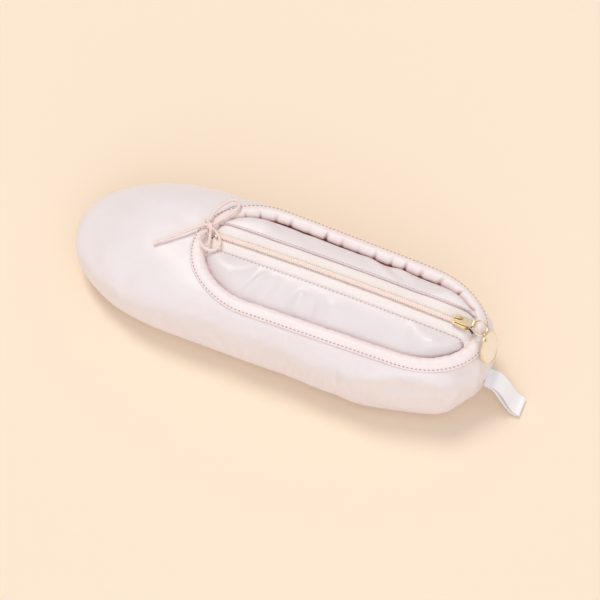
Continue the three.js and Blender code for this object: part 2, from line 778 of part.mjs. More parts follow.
add("heel_ribbon", sweep(ribbonSections, false), satin);

export default group;
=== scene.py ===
import math

import bmesh
import bpy
import numpy as np
from mathutils import Matrix, Vector, noise


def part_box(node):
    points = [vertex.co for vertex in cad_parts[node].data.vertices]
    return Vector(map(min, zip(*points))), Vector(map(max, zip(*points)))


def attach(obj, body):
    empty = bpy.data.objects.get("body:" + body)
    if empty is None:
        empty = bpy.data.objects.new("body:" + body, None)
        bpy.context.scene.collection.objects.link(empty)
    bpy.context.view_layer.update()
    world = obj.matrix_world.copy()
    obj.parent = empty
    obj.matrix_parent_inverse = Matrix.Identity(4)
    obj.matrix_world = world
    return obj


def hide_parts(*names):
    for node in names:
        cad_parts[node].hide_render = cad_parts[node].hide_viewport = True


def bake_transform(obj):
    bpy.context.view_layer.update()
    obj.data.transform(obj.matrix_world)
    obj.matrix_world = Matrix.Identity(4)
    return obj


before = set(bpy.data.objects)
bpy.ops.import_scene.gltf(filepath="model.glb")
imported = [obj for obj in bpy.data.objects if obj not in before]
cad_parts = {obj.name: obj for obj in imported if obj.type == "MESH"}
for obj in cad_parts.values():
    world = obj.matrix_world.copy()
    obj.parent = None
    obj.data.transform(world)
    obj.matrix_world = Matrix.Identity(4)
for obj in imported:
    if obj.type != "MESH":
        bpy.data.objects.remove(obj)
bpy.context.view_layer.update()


# The camera stands above the pouch's near side, towards the heel, with a long portrait lens that
# keeps the toe and the heel at nearly one scale.
azimuth, elevation, distance = math.radians(23), math.radians(60), 0.938
back = Vector((math.sin(azimuth) * math.cos(elevation), -math.cos(azimuth) * math.cos(elevation),
               math.sin(elevation)))
right = Vector((math.cos(azimuth), math.sin(azimuth), 0))
aim = Vector((0.01233, 0.00051, 0.01949))
camera_data = bpy.data.cameras.new("camera")
camera_data.lens = 100
camera = bpy.data.objects.new("camera", camera_data)
bpy.context.scene.collection.objects.link(camera)
camera.matrix_world = Matrix.Translation(aim + distance * back) @ (
    Matrix((right, back.cross(right), back)).transposed().to_4x4())
bpy.context.scene.camera = camera


# The bow: the two ends of the elastic drawstring, a round cord braided over a rubber core. Each
# loop and tail is a free run from one knot on the throat's casing.
mm = 0.001
cord_diameter = 1.7
knot_middle = np.array([-45.5, 8.6, 49.8])
bow_routes = {
    "bow_loop_near_cord": [
        (-0.2, -3.4, 0), (-1.2, -6.2, 0.5), (-1.4, -9.4, 1.4), (-0.2, -12.4, 2.2),
        (2.4, -14.9, 2.8), (5.8, -16.2, 3.2), (9, -15.7, 3.5), (10.9, -13.5, 3.8),
        (10.9, -10.4, 4.1), (9.2, -7.2, 4.2), (6.4, -4.4, 3.9), (3.9, -2.3, 1.2), (1.2, -0.6, 0.4)],
    "bow_loop_far_cord": [
        (-1.4, 3.1, 0), (-1.8, 6.2, 0.2), (-1.3, 9.6, 0.5), (-0.1, 13, 0.6), (1.5, 16.4, 0.5),
        (3.4, 19.4, 0.2), (6, 21.2, 0), (8.6, 20.7, 0.1), (9.7, 18.3, 0.4), (9.2, 15.1, 0.6),
        (7.8, 11.8, 0.5), (6, 8.6, 0.4), (4.2, 5.8, 0.3), (2.5, 3.2, 0.2), (0.9, 1, 0.3)],
    "bow_tail_long_cord": [
        (0.6, 1, 0.4), (-3.4, -0.6, 0), (-6, -2.6, -0.6), (-9.1, -5.6, -1), (-12.1, -8.9, -1.2),
        (-15.4, -11.9, -1.5), (-18.6, -15.2, -2), (-22.2, -18.2, -2.7), (-25.4, -20.9, -3.6)],
    "bow_tail_short_cord": [
        (0.8, -0.8, 0.4), (1.9, -3.2, 0.4), (2.7, -5.4, 1.2), (3.6, -7.6, 1.8), (4.4, -9.8, 2),
        (4.6, -12.2, 1.9), (3.6, -13.5, 1.7)],
}


def linear(hex_colour):
    """A colour written as sRGB hex, as the linear colour that a shader takes."""
    shares = [int(hex_colour[i:i + 2], 16) / 255 for i in (0, 2, 4)]
    return [s / 12.92 if s <= 0.04045 else ((s + 0.055) / 1.055) ** 2.4 for s in shares] + [1]


def node(tree, kind, settings=None, **links):
    """Adds a node of a kind to a material's tree, with settings by attribute or socket name and
    links by socket name, a space in the name written as an underscore."""
    made = tree.nodes.new("ShaderNode" + kind)
    for key, value in (settings or {}).items():
        if key in made.inputs:
            made.inputs[key].default_value = value
        else:
            setattr(made, key, value)
    for key, output in links.items():
        name = key.replace("_", " ")
        sockets = [s for s in made.inputs if s.name == name and s.enabled]
        tree.links.new(output, sockets[0])
    return made


def finish_of(name, **values):
    """A new material with its Principled shader's constant values set on its own sockets."""
    made = bpy.data.materials.new(name)
    made.use_nodes = True
    shader = made.node_tree.nodes["Principled BSDF"]
    for key, value in values.items():
        shader.inputs[key.replace("_", " ")].default_value = value
    return made, made.node_tree, shader


def two_tones(tree, shader, coordinate, one, other, scale):
    """Base colour that drifts between two dyes, as cloth does where it's pressed or stretched."""
    drift = node(tree, "TexNoise", {"Scale": scale, "Detail": 3}, Vector=coordinate)
    mixed = node(tree, "Mix", {"data_type": "RGBA"}, Factor=drift.outputs["Fac"])
    colours = [s for s in mixed.inputs if s.type == "RGBA"]
    colours[0].default_value = linear(one)
    colours[1].default_value = linear(other)
    result = [s for s in mixed.outputs if s.type == "RGBA"][0]
    tree.links.new(result, shader.inputs["Base Color"])


def bumps(tree, shader, heights):
    """Stacks bump nodes, each (height output, distance in metres, strength)."""
    last = None
    for height, depth, strength in heights:
        made = node(tree, "Bump", {"Distance": depth, "Strength": strength}, Height=height)
        if last:
            tree.links.new(last.outputs["Normal"], made.inputs["Normal"])
        last = made
    tree.links.new(last.outputs["Normal"], shader.inputs["Normal"])


def braided_elastic(name):
    """Braided polyester over rubber: matt and dyed peach, with strands of 0.45 mm that show as a
    fine uneven surface."""
    strand = 0.45
    made, tree, shader = finish_of(name, Roughness=0.6, Sheen_Weight=0.25, Sheen_Roughness=0.5)
    place = node(tree, "TexCoord").outputs["Object"]
    two_tones(tree, shader, place, "F6DFD5", "F0D3C8", 90)
    strands = node(tree, "TexVoronoi", {"Scale": 1 / (strand * mm)}, Vector=place)
    bumps(tree, shader, [(strands.outputs["Distance"], 0.0002, 0.5)])
    return made


cord_elastic = braided_elastic("braided_elastic_cord")


def walked_along(line):
    """The distance walked along a line to each of its points."""
    steps = np.linalg.norm(np.diff(line, axis=0), axis=1)
    return np.concatenate([[0], np.cumsum(steps)])


def smooth_line(points, count):
    """Evenly spaced points on a centripetal curve through the given points, in the same units."""
    given = np.array(points, float)
    given = np.vstack([2 * given[0] - given[1], given, 2 * given[-1] - given[-2]])
    fine = []
    for a, b, c, d in zip(given, given[1:], given[2:], given[3:]):
        knots = np.cumsum([0, *(np.linalg.norm(q - p) ** 0.5 + 1e-9
                                for p, q in ((a, b), (b, c), (c, d)))])
        for t in np.linspace(knots[1], knots[2], 16, endpoint=False):
            def between(p, q, i, j):
                return ((knots[j] - t) * p + (t - knots[i]) * q) / (knots[j] - knots[i])
            ab, bc, cd = between(a, b, 0, 1), between(b, c, 1, 2), between(c, d, 2, 3)
            fine.append(between(between(ab, bc, 0, 2), between(bc, cd, 1, 3), 1, 2))
    fine.append(given[-2])
    fine = np.array(fine)
    walked = walked_along(fine)
    at = np.linspace(0, walked[-1], count)
    return np.column_stack([np.interp(at, walked, fine[:, k]) for k in range(3)])


def place_piece(piece, body, material, slot, *replaced):
    """Puts a finished piece on its body, with its material and the nodes it stands for; its slot is
    not used.
    A piece given no body is left without one here."""
    bpy.context.scene.collection.objects.link(piece)
    piece.data.materials.append(material)
    if body:
        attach(piece, body)
    if replaced:
        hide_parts(*replaced)
    return piece


def round_cord(name, points, diameter, material, slot, *replaced):
    """A round cord as one open curve through points in millimetres."""
    curve = bpy.data.curves.new(name, "CURVE")
    curve.dimensions = "3D"
    curve.bevel_depth = diameter / 2 * mm
    curve.bevel_resolution = 4
    curve.resolution_u = 4
    curve.use_fill_caps = True
    spline = curve.splines.new("BEZIER")
    spline.bezier_points.add(len(points) - 1)
    for knot, point in zip(spline.bezier_points, points):
        knot.co = Vector(point) * mm
        knot.handle_left_type = knot.handle_right_type = "AUTO"
    return place_piece(bpy.data.objects.new(name, curve), "pouch", material, slot, *replaced)


for name, route in bow_routes.items():
    points = smooth_line(np.array(route) + knot_middle, 24)
    round_cord(name, points, cord_diameter, cord_elastic, "cord", name[:-5])


def face_outwards(mesh):
    """Turns a closed mesh's faces outwards."""
    shape = bmesh.new()
    shape.from_mesh(mesh)
    bmesh.ops.recalc_face_normals(shape, faces=shape.faces)
    shape.to_mesh(mesh)
    shape.free()


def skin(name, rows, closed=False, capped=False):
    """A mesh from rows of points in millimetres, each row joined to the next. A closed skin joins
    each row's end to its start. Its UV map is in millimetres along the rows and across them."""
    rows = np.asarray(rows, float)
    high, wide = rows.shape[:2]
    across = wide if closed else wide - 1
    faces = [(r * wide + c, r * wide + (c + 1) % wide, (r + 1) * wide + (c + 1) % wide,
              (r + 1) * wide + c) for r in range(high - 1) for c in range(across)]
    if capped:
        faces += [tuple(range(wide - 1, -1, -1)), tuple(range((high - 1) * wide, high * wide))]
    mesh = bpy.data.meshes.new(name)
    mesh.from_pydata((rows.reshape(-1, 3) * mm).tolist(), [], faces)
    along = walked_along(np.vstack([rows[high // 2], rows[high // 2, :1]]))
    down = walked_along(rows[:, wide // 2])
    layer = mesh.uv_layers.new(name="cut")
    corner = 0
    for r in range(high - 1):
        for c in range(across):
            for dr, dc in ((0, 0), (0, 1), (1, 1), (1, 0)):
                layer.data[corner].uv = (along[c + dc] * mm, down[r + dr] * mm)
                corner += 1
    mesh.polygons.foreach_set("use_smooth", [True] * len(mesh.polygons))
    if capped:
        face_outwards(mesh)
    return bpy.data.objects.new(name, mesh)


def tube_rows(line, radius, sides=12):
    """Rows of points round a line, for a tube of a radius that may change along it."""
    line = np.asarray(line, float)
    along = np.gradient(line, axis=0)
    along /= np.linalg.norm(along, axis=1)[:, None]
    side = np.cross(along, (0, 0, 1))
    side /= np.linalg.norm(side, axis=1)[:, None] + 1e-12
    upper = np.cross(side, along)
    radius = np.broadcast_to(radius, len(line))
    turns = np.linspace(0, 2 * math.pi, sides, endpoint=False)
    return [[line[i] + radius[i] * (math.cos(t) * side[i] + math.sin(t) * upper[i])
             for t in turns] for i in range(len(line))]


# The knot is one overhand wrap of the same cord round both loops, with the bight pulled to a
# small curl on the toe side. The cord is drawn a little thinner where it is pulled tight.
wrap_radius, curl_radius = 0.8, 0.72
wrap_turns = np.linspace(-0.3, 3.5 * math.pi, 72)
wrap = np.array([[0.9 * (t / 5.5 - 1) + 0.5 * math.sin(t), 1.45 * math.cos(t) - 0.1,
                  1.15 * math.sin(t) + 0.1] for t in wrap_turns]) + knot_middle
curl = smooth_line(np.array([(0.2, 0.6, 0.4), (-1.6, 1.9, 0.8), (-3.2, 2.8, 0.7),
                             (-4.3, 1.9, 0.5), (-3.9, 0.4, 0.3), (-2.3, -0.3, 0.4),
                             (-0.4, -0.4, 0.6)]) + knot_middle, 40)
knot = skin("bow_knot_wrap", tube_rows(wrap, wrap_radius), closed=True, capped=True)
place_piece(knot, "pouch", cord_elastic, "cord", "bow_knot")
knot_curl = skin("bow_knot_curl", tube_rows(curl, curl_radius), closed=True, capped=True)
place_piece(knot_curl, "pouch", cord_elastic, "cord")


# The upper: one layer of blush satin over polyester wadding, cut as a toe, two sides and a heel,
# turned under at the sole's edge and gathered into the throat's casing.
around_end, around_side = 96, 48
sole_inset, sole_edge_height, widest_height, rim_height = 8, 2.4, 17, 46.5
body_shape = dict(toe_x=-125, heel_x=126, toe_arc=68, heel_arc=56, toe_half=44.6, heel_half=42)
throat_mid_y = 2
throat_shape = dict(toe_x=-47, heel_x=116, toe_arc=38, heel_arc=38, toe_half=31, heel_half=28.5,
                    mid_y=throat_mid_y)
side_heel_x, side_toe_x = 70, -9


def drawn_in(shape, inset):
    """An outline's sizes, drawn in all round by an inset in millimetres."""
    moved = dict(shape)
    for key, sign in (("toe_x", 1), ("heel_x", -1), ("toe_arc", -1), ("heel_arc", -1),
                      ("toe_half", -1), ("heel_half", -1)):
        moved[key] += sign * inset
    return moved


def outline(toe_x, heel_x, toe_arc, heel_arc, toe_half, heel_half, mid_y=0):
    """A closed outline from the heel's near side round the heel, the far side and the toe."""
    heel_centre, toe_centre = heel_x - heel_arc, toe_x + toe_arc

    def half_at(x):
        share = np.clip((x - heel_centre) / (toe_centre - heel_centre), 0, 1)
        return heel_half + (toe_half - heel_half) * share

    def end(side, side_x, centre, arc, half):
        turns = np.radians(np.linspace(-90, 90, 121))
        curve = np.column_stack([centre + side * arc * np.cos(turns), side * half * np.sin(turns)])
        first, last = (side_x, -side * half_at(side_x)), (side_x, side * half_at(side_x))
        curve = np.vstack([first, curve, last])
        walked = walked_along(curve)
        at = np.linspace(0, walked[-1], around_end, endpoint=False)
        return np.column_stack([np.interp(at, walked, curve[:, k]) for k in (0, 1)])

    def straight(side, from_x, to_x):
        x = np.linspace(from_x, to_x, around_side, endpoint=False)
        return np.column_stack([x, side * half_at(x)])

    whole = np.vstack([end(1, side_heel_x, heel_centre, heel_arc, heel_half),
                       straight(1, side_heel_x, side_toe_x),
                       end(-1, side_toe_x, toe_centre, toe_arc, toe_half),
                       straight(-1, side_toe_x, side_heel_x)])
    whole[:, 1] += mid_y
    return whole


def wall_row(level, depth=0.0):
    """The upper's points round one level: 0 is the sole's edge, 1 the widest and 2 the throat."""
    wide = outline(**drawn_in(body_shape, depth))
    low = outline(**drawn_in(body_shape, sole_inset + depth))
    rim = outline(**throat_shape)
    if level <= 1:
        angle = level * math.pi / 2
        plan = low + (wide - low) * math.sin(angle)
        z = sole_edge_height + (widest_height - sole_edge_height) * (1 - math.cos(angle))
    else:
        angle = (level - 1) * math.pi / 2
        plan = wide + (rim - wide) * (1 - math.cos(angle))
        z = widest_height + (rim_height - depth - widest_height) * math.sin(angle)
    return np.column_stack([plan, np.full(len(plan), z)])


def normals_of(rows):
    """The outward direction at each point of rows that run round the pouch."""
    along = np.roll(rows, -1, 1) - np.roll(rows, 1, 1)
    up = np.gradient(rows, axis=0)
    out = np.cross(along, up)
    return out / (np.linalg.norm(out, axis=2)[:, :, None] + 1e-12)


def ridge(rows, start, end, width, height):
    """A fold's height at each point: a ridge along the line from start to end in plan that fades
    at both ends, or a valley where height is negative."""
    start, end = np.array(start, float), np.array(end, float)
    line = end - start
    length = np.linalg.norm(line)
    from_start = rows[..., :2] - start
    t = (from_start @ line) / length ** 2
    off = np.abs(from_start[..., 0] * line[1] - from_start[..., 1] * line[0]) / length
    fade = np.clip(1 - np.abs(2 * t - 1) ** 3, 0, 1)
    return height * np.exp(-(off / width) ** 2) * fade


def ripple(rows, scale, seed, stretch=(1, 1, 1)):
    """Soft uneven relief of even size, from -1 to 1, that doesn't repeat."""
    flat = rows.reshape(-1, 3) * np.array(stretch) / scale + seed
    return np.array([noise.noise(Vector(p)) for p in flat]).reshape(rows.shape[:2])


# Levels below 0 are the turned-under hem. The rows come closer together towards the throat, where
# the gathers are.
levels = [-0.12, -0.05, 0, 0.12, 0.25, 0.4, 0.55, 0.7, 0.85, 1, 1.08, 1.16, 1.24, 1.32, 1.4, 1.48,
          1.56, 1.64, 1.7, 1.76, 1.81, 1.86, 1.9, 1.94, 1.97, 2]
upper_folds = [
    ((-68, 22), (-38, 4), 5, 1.8), ((-88, -6), (-50, -12), 9, 1.5),
    ((-78, 14), (-44, 2), 4, -1.8), ((-84, -26), (-42, -22), 6, -1.6),
    ((52, -42), (118, -24), 3.2, 2.4), ((46, -46), (112, -33), 3.4, -1.6),
    ((20, -46), (86, -36), 5, 1.2), ((86, -24), (122, -14), 3.6, -1.6),
    ((96, 30), (122, 12), 4, 0.9), ((-30, 44), (40, 36), 6, 0.8)]
gather_count, gather_height = 34, 0.5
bulge_height, bulge_size, dimple_height, dimple_size = 0.9, 46, 0.35, 17
hem_drop, hem_draw_in = 17, 0.15
upper_settled = 0.4


def upper_rows():
    """The upper's rows with its filling, folds and gathers."""
    rows = []
    for level in levels:
        row = wall_row(max(level, 0))
        if level < 0:
            middle = np.array([row[:, 0].mean(), 0, 0])
            row[:, :2] = (row[:, :2] - middle[:2]) * (1 + hem_draw_in * level) + middle[:2]
            row[:, 2] += hem_drop * level
        rows.append(row)
    rows = np.array(rows)
    share = np.clip(np.array(levels), 0, 2)[:, None]
    top = np.clip((share - 1.3) / 0.7, 0, 1)
    station = np.linspace(0, 1, rows.shape[1], endpoint=False)[None, :]
    uneven = 3 * np.sin(2 * math.pi * 5 * station)
    gathers = np.sin(2 * math.pi * gather_count * station + uneven)
    x, y = rows[..., 0], rows[..., 1]
    lift = bulge_height * ripple(rows, bulge_size, 3.1)
    lift += dimple_height * ripple(rows, dimple_size, 8.7, (0.6, 1, 1))
    lift += gather_height * gathers * top ** 3 * (x > -60) * (0.5 + 0.5 * (y > 0))
    for fold in upper_folds:
        lift += ridge(rows, *fold)
    lift *= np.clip(share * 2.2, 0, 1) * np.clip((2 - share) / 0.5, 0, 1) ** 1.5
    return rows + normals_of(rows) * (lift - upper_settled)[..., None]


def fill_out(piece, held, cap):
    """Lets a skin swell as cloth under pressure, a little larger than its pattern so that it
    wrinkles, and held where it is sewn. Its even swelling is taken off again, so that only the
    wrinkles stay, and no point moves further than the cap, in millimetres."""
    frames, shrink = 20, -0.03
    held = np.asarray(held, float).ravel()
    scene = bpy.context.scene
    scene.collection.objects.link(piece)
    mesh = piece.data
    sewn = piece.vertex_groups.new(name="sewn")
    for index, share in enumerate(held):
        sewn.add([index], float(share), "REPLACE")
    cloth = piece.modifiers.new("filled_cloth", "CLOTH")
    cloth.settings.quality = 6
    cloth.settings.mass = 0.15
    cloth.settings.tension_stiffness = cloth.settings.compression_stiffness = 25
    cloth.settings.shear_stiffness = 8
    cloth.settings.bending_stiffness = 0.08
    cloth.settings.use_pressure = True
    cloth.settings.uniform_pressure_force = 4
    cloth.settings.effector_weights.gravity = 0
    cloth.settings.shrink_min = cloth.settings.shrink_max = shrink
    cloth.settings.vertex_group_mass = sewn.name
    cloth.settings.pin_stiffness = 5
    cloth.collision_settings.use_collision = False
    cloth.point_cache.frame_start, cloth.point_cache.frame_end = 1, frames
    before = np.array([v.co for v in mesh.vertices])
    out = np.array([v.normal for v in mesh.vertices])
    for frame_number in range(1, frames + 1):
        scene.frame_set(frame_number)
    swollen = piece.evaluated_get(bpy.context.evaluated_depsgraph_get()).data
    moved = np.array([v.co for v in swollen.vertices]) - before
    along = (moved * out).sum(axis=1)
    kept = np.clip(along - np.median(along) * (1 - held), -cap * mm, cap * mm)
    mesh.vertices.foreach_set("co", (before + out * kept[:, None]).ravel())
    mesh.update()
    piece.modifiers.remove(cloth)
    piece.vertex_groups.remove(sewn)
    scene.frame_set(1)
    scene.collection.objects.unlink(piece)


# Painted shade: creases, grooves and the casing's notches are mixed towards this deeper pink, which
# stands in for their shadow and the light bounced between the folds.
crease_shade_pink = "B87F78"


def paint_crease_shade(piece, depth):
    """Stores how much painted shade each point takes, from how deep in a crease, groove or notch it
    lies.
    """
    layer = piece.data.attributes.new("crease", "FLOAT", "POINT")
    layer.data.foreach_set("value", np.clip(np.asarray(depth, float), 0, 1).ravel())
    return piece


def satin_weave(name, light, dark, roughness, thread=0.5):
    """Polyester satin, warp-faced: long floats lie along the cloth and give a soft directional
    gloss, and it crumples finely. Real threads are 0.1 mm apart; they're drawn at about half a
    millimetre so that they show."""
    made, tree, shader = finish_of(name, Roughness=roughness, Anisotropic=0.5, Sheen_Weight=0.3,
                                   Sheen_Roughness=0.35, Specular_IOR_Level=0.45)
    shader.inputs["Sheen Tint"].default_value = linear("FFF6F0")
    place = node(tree, "TexCoord").outputs["Object"]
    cut = node(tree, "UVMap", {"uv_map": "cut"}).outputs["UV"]
    two_tones(tree, shader, place, light, dark, 28)
    dye = shader.inputs["Base Color"].links[0].from_socket
    # Painted shade: the dye is mixed towards the crease pink by each point's crease value.
    depth = node(tree, "Attribute", {"attribute_name": "crease"}).outputs["Fac"]
    shaded_dye = node(tree, "Mix", {"data_type": "RGBA"}, Factor=depth)
    colours = [s for s in shaded_dye.inputs if s.type == "RGBA"]
    tree.links.new(dye, colours[0])
    colours[1].default_value = linear(crease_shade_pink)
    tree.links.new([s for s in shaded_dye.outputs if s.type == "RGBA"][0], shader.inputs["Base Color"])
    floats = node(tree, "Mapping", {"Scale": (0.12 / (thread * mm), 1 / (thread * mm), 1)},
                  Vector=cut)
    threads = node(tree, "TexNoise", {"Scale": 1, "Detail": 2}, Vector=floats.outputs["Vector"])
    crumple = node(tree, "TexNoise", {"Scale": 1 / (6 * mm), "Detail": 4, "Roughness": 0.55},
                   Vector=place)
    bumps(tree, shader, [(crumple.outputs["Fac"], 0.0006, 0.35),
                         (threads.outputs["Fac"], 0.00008, 0.5)])
    return made


blush_satin = satin_weave("blush_polyester_satin", "EFE4E2", "E8DAD8", roughness=0.4)
upper = skin("upper_satin_shell", upper_rows(), closed=True)
sewn_levels = np.interp(levels, (0, 0.6, 1, 1.4, 1.9), (1, 0.8, 0.3, 0, 1))
fill_out(upper, np.repeat(sewn_levels[:, None], 2 * (around_end + around_side), axis=1), cap=1)
place_piece(upper, "pouch", blush_satin, "satin", "upper_satin", "upper_wadding")
rounding = upper.modifiers.new("rounding", "SUBSURF")
rounding.levels = rounding.render_levels = 1


# The lining: a bag of plain woven polyester inside the wadding, which shows when the zip is open.
# It is sewn to the upper at the throat and to the lining's bottom at the sole.
lining_depth = 4.4
lining_levels = (0, 0.2, 0.45, 0.7, 1, 1.2, 1.4, 1.6, 1.75, 1.86, 1.93)


def plain_weave(name, light, dark):
    """Plain woven polyester: matt, over and under at the same spacing both ways. Real threads are
    0.2 mm apart and are drawn three times as coarse so that they show."""
    wave = 0.16 / (0.6 * mm)
    made, tree, shader = finish_of(name, Roughness=0.75, Sheen_Weight=0.15)
    place = node(tree, "TexCoord").outputs["Object"]
    cut = node(tree, "UVMap", {"uv_map": "cut"}).outputs["UV"]
    two_tones(tree, shader, place, light, dark, 40)
    warp = node(tree, "TexWave", {"Scale": wave, "bands_direction": "X"}, Vector=cut)
    weft = node(tree, "TexWave", {"Scale": wave, "bands_direction": "Y"}, Vector=cut)
    over = node(tree, "Math", {"operation": "MULTIPLY"})
    tree.links.new(warp.outputs["Fac"], over.inputs[0])
    tree.links.new(weft.outputs["Fac"], over.inputs[1])
    bumps(tree, shader, [(over.outputs["Value"], 0.00012, 0.6)])
    return made


lining_cloth = plain_weave("plain_woven_lining", "E6DCD6", "DED1CA")
lining_rows = np.array([wall_row(level, lining_depth) for level in lining_levels])
lining_rows += normals_of(lining_rows) * (0.5 * ripple(lining_rows, 22, 5.5))[..., None]
lining = skin("lining_bag", lining_rows[::-1], closed=True)
place_piece(lining, "pouch", lining_cloth, "lining", "upper_lining")


# The sole: a satin panel over a thin foam pad, closed by the lining's bottom. Its edge is turned
# up into the upper's seam all round.
def sole_rows(inset, heights, margins):
    """Rows of a flat panel, each at a height and a margin in from the panel's own edge."""
    return np.array([np.column_stack([outline(**drawn_in(body_shape, sole_inset + inset + m)),
                                      np.full(2 * (around_end + around_side), z)])
                     for z, m in zip(heights, margins)])


sole_heights, sole_margins = [0.05, 0, 0, 0.3, 0.9, 1.5], [27, 18, 3, 0.8, 0.1, 0.3]
bottom_inset, bottom_heights, bottom_margins = 4.9, [5.6, 5.7, 5.5, 2.0], [24, 12, 1, 0]
sole = skin("sole_satin_panel", sole_rows(0, sole_heights, sole_margins)[::-1], closed=True,
            capped=True)
place_piece(sole, "pouch", blush_satin, "satin", "sole_outer")
sole_bottom = skin("lining_bottom", sole_rows(bottom_inset, bottom_heights, bottom_margins),
                   closed=True, capped=True)
place_piece(sole_bottom, "pouch", lining_cloth, "lining", "sole_lining", "sole_pad")


# The casing round the throat: a bias strip of peach-blush satin folded over the edge, with the
# elastic drawstring in its fold. The elastic gathers it into soft scallops, and one row of
# lockstitch holds it down on the outside.
casing_sections = [(-4.9, 0.2), (-4.6, 0.6), (-3.9, 0.5), (-3.2, 0.8), (-2.0, 1.15), (-0.5, 1.35),
                   (1.0, 1.25), (2.4, 0.7), (3.6, -0.5), (4.1, -1.9), (3.7, -3.3), (2.2, -4.8),
                   (-0.6, -5.5), (-1.6, -4.2), (-1.2, -2.6), (-3.0, -1.2)]
casing_seam = 2
scallop_pitch, pinch_depth, pinch_drop, pinch_spread = 9.5, 0.34, 0.6, 0.12
pucker_pitch, pucker_height, wobble_height = 5.2, 0.16, 0.35
heel_start, heel_run, far_run = 70, 40, 14


def throat_row(inset, height):
    """Points round the throat, drawn in from its rim and raised from it. Outside the rim they
    follow the upper's slope."""
    row = outline(**drawn_in(throat_shape, inset))
    if inset < 0:
        rim = outline(**throat_shape)
        outwards = outline(**body_shape) - rim
        reach = np.linalg.norm(outwards, axis=1)[:, None]
        square = row - rim
        square /= np.linalg.norm(square, axis=1)[:, None]
        slanted = -inset / np.maximum(0.6, (outwards / reach * square).sum(axis=1))[:, None]
        row = rim + outwards / reach * slanted
        wall = (rim_height - widest_height) * (np.sqrt(1 - (slanted / reach) ** 2) - 1)
        return np.column_stack([row, rim_height + wall[:, 0] + height])
    return np.column_stack([row, np.full(len(row), rim_height + height)])


def casing_rows():
    """The casing's rows across its fold, and how far the drawstring pinches it at each point of
    the throat. The pinches are deep on the far side and shallow on the near one."""
    rows = np.array([throat_row(inset, height) for inset, height in casing_sections])
    middle = throat_row(0, -2)
    walked = walked_along(middle)
    far = np.clip((middle[:, 1] - throat_mid_y) / far_run, 0, 1)
    heel = np.clip((middle[:, 0] - heel_start) / heel_run, 0, 1)
    phase = 2 * math.pi * walked / scallop_pitch + 1.3 * np.sin(walked / 19) + 9 * heel * far
    pinch = np.exp(-(np.mod(phase, 2 * math.pi) - math.pi) ** 2 / pinch_spread)
    depth = (0.2 + 0.8 * far) * pinch
    centre = rows.mean(axis=0)
    insets = np.array([s[0] for s in casing_sections])
    inner = np.clip((insets - 0.8) / 3, 0, 1)[:, None]
    raised = np.clip((insets + 3.9) / 2.5, 0, 1)[:, None]
    outer = rows - centre
    rows = rows - outer * (depth * pinch_depth)[None, :, None] * inner[..., None]
    wobble = wobble_height * (ripple(rows, 8, 4.4) + ripple(rows, 24, 1.4))
    uneven = 2 * np.sin(walked / 11)
    puckers = pucker_height * np.sin(2 * math.pi * walked / pucker_pitch + uneven)[None, :]
    rows[..., 2] += (wobble + puckers) * raised - (pinch_drop * depth)[None, :] * inner
    return rows, pinch * far


def join_ends(piece, wide):
    """Closes a skin's last row onto its first, for a strip that runs right round."""
    mesh = piece.data
    points = np.array([v.co for v in mesh.vertices])
    high = len(points) // wide
    faces = [tuple(p.vertices) for p in mesh.polygons]
    closing = [((high - 1) * wide + c, (high - 1) * wide + (c + 1) % wide, (c + 1) % wide, c)
               for c in range(wide)]
    uv = [tuple(d.uv) for d in mesh.uv_layers["cut"].data]
    last = max(v for _, v in uv)
    uv += [corner for c in range(wide)
           for corner in ((c * mm, last), ((c + 1) * mm, last), ((c + 1) * mm, last + mm),
                          (c * mm, last + mm))]
    made = bpy.data.meshes.new(mesh.name)
    made.from_pydata(points.tolist(), [], faces + closing)
    made.uv_layers.new(name="cut").data.foreach_set("uv", np.array(uv).ravel())
    made.polygons.foreach_set("use_smooth", [True] * len(made.polygons))
    face_outwards(made)
    piece.data = made
    return piece


casing_satin = satin_weave("peach_bias_satin", "F6E9E5", "F0DDD8", roughness=0.45)
casing_cut, casing_pinch = casing_rows()
casing = skin("throat_casing", np.transpose(casing_cut, (1, 0, 2)), closed=True)
casing_sides = len(casing_sections)
join_ends(casing, casing_sides)
# Painted shade: the casing is darkened towards the crease pink along its outer edge and most under
# its fold, and in notches on its inner edge where the drawstring pinches the far side.
fold_shade = np.interp(range(casing_sides), (0, 1, 2, 3, 7, 9, 11), (0.15, 0, 0.1, 0, 0, 0.3, 1))
notch_shade = np.interp(range(casing_sides), (5, 7, 9), (0, 0.6, 1))
paint_crease_shade(casing, fold_shade[None, :] * 0.6 + casing_pinch[:, None] * notch_shade[None, :])
place_piece(casing, "pouch", casing_satin, "binding", "throat_binding", "drawstring_cord")


def stitches(name, line, body, material, slot, pitch, length, radius, lift):
    """A row of lockstitch along a line, lifted from it: short threads that dip into the cloth at
    both ends. Each is a tube of five rings with closed ends."""
    line = np.asarray(line, float)
    walked = walked_along(line)
    sides, rings = 6, 5
    points, faces = [], []
    for start in np.arange(pitch / 2, walked[-1] - pitch / 2, pitch):
        at = start + np.linspace(-0.5, 0.5, rings) * length
        middle = np.column_stack([np.interp(at, walked, line[:, k]) for k in range(3)])
        middle[:, 2] += lift + radius * np.array([-1.6, -0.1, 0.4, -0.1, -1.6])
        first = len(points)
        rows = tube_rows(middle, radius * np.array([0.55, 0.95, 1, 0.95, 0.55]), sides)
        points += [p for row in rows for p in row]
        for ring in range(first, first + (rings - 1) * sides, sides):
            faces += [(ring + c, ring + (c + 1) % sides, ring + sides + (c + 1) % sides,
                       ring + sides + c) for c in range(sides)]
        last = first + (rings - 1) * sides
        faces += [tuple(range(first + sides - 1, first - 1, -1)), tuple(range(last, last + sides))]
    mesh = bpy.data.meshes.new(name)
    mesh.from_pydata((np.array(points) * mm).tolist(), [], faces)
    mesh.polygons.foreach_set("use_smooth", [True] * len(faces))
    return place_piece(bpy.data.objects.new(name, mesh), body, material, slot)


